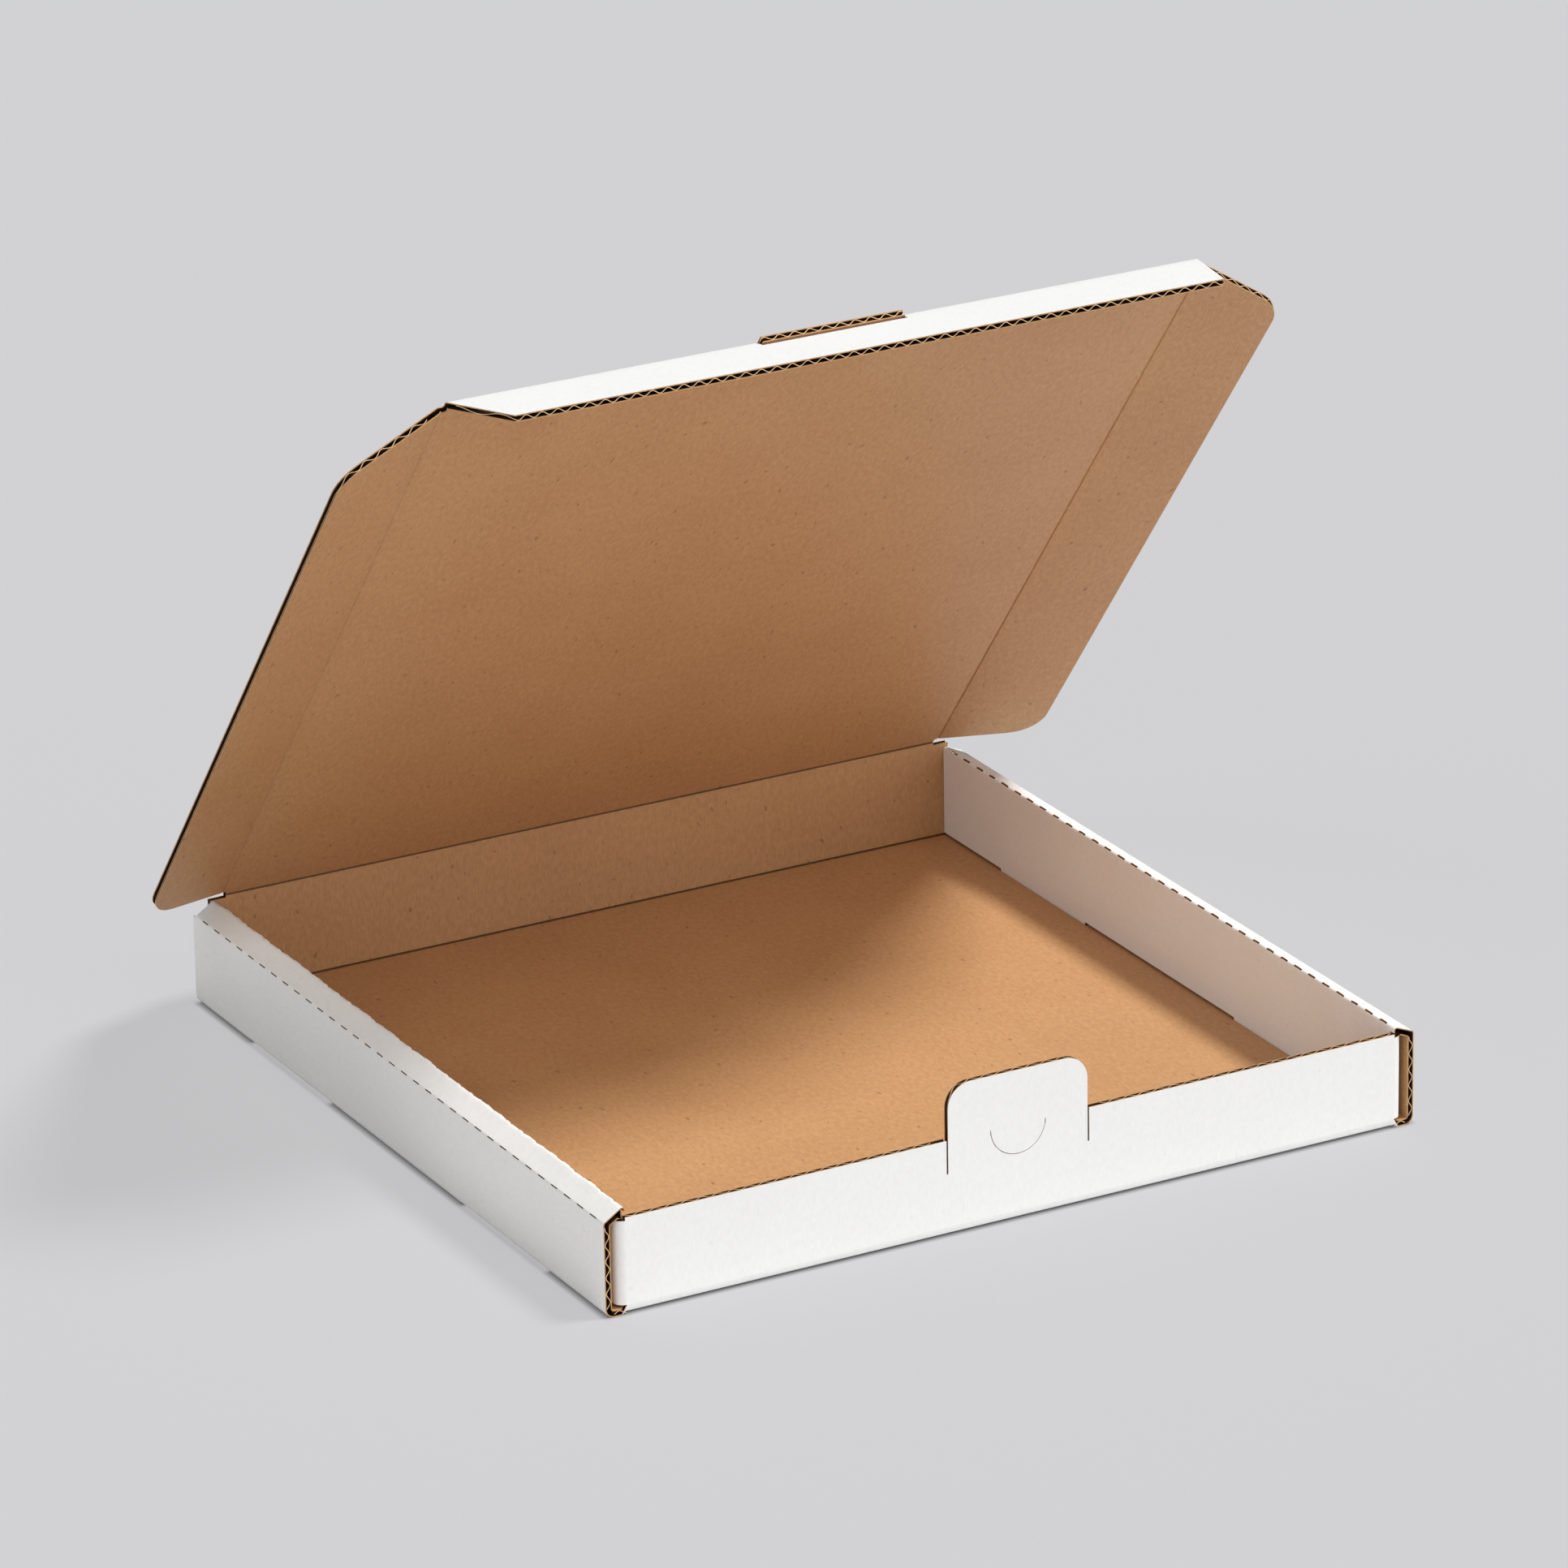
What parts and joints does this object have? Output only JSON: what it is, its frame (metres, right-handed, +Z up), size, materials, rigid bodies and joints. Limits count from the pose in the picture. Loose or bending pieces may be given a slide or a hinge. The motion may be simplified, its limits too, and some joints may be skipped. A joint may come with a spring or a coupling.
{
  "type": "flip-lid shipping carton",
  "caption": "Flat square corrugated carton, white outside and kraft inside, with roll-over side walls, a flip lid with tuck and side flaps, and a front lock tab; holds and ships flat goods.",
  "frame": {"origin": "middle of the base's underside, on the surface that the carton stands on", "axes": "+X right along the front wall, +Y from the front wall to the hinged back wall, +Z up"},
  "size_m": [0.2079, 0.18, 0.1628],
  "materials": {
    "white_liner": "uncoated white-top liner, faintly mottled, matt",
    "kraft_liner": "brown kraft liner with fine fibres, matt"
  },
  "bodies": {
    "tray": {"tray": "white_liner"},
    "lock_tab": {"lock_tab": "white_liner"},
    "lid": {"lid": "kraft_liner"},
    "front_flap": {"lid_front_flap": "white_liner"},
    "left_flap": {"lid_left_flap": "kraft_liner"},
    "right_flap": {"lid_right_flap": "kraft_liner"}
  },
  "joints": [
    {"name": "lid_hinge", "type": "hinge", "parent": "tray", "child": "lid", "pos_m": [0, 0.0893, 0.0232], "axis": [-1, 0, 0], "range_deg": [-42.5, 133.5]},
    {"name": "front_flap_crease", "type": "hinge", "parent": "lid", "child": "front_flap", "pos_m": [0, -0.01964, 0.16016], "axis": [1, 0, 0], "range_deg": [-45.5, 49.5]},
    {"name": "left_flap_crease", "type": "hinge", "parent": "lid", "child": "left_flap", "pos_m": [-0.084, 0.0893, 0.0232], "axis": [0, -0.6225, 0.7826], "range_deg": [-13.5, 9]},
    {"name": "right_flap_crease", "type": "hinge", "parent": "lid", "child": "right_flap", "pos_m": [0.084, 0.0893, 0.0232], "axis": [0, 0.6225, -0.7826], "range_deg": [-17.5, 5]},
    {"name": "lock_tab_crease", "type": "hinge", "parent": "tray", "child": "lock_tab", "pos_m": [0, -0.0893, 0.02], "axis": [-1, 0, 0], "range_deg": [0, 95]}
  ]
}
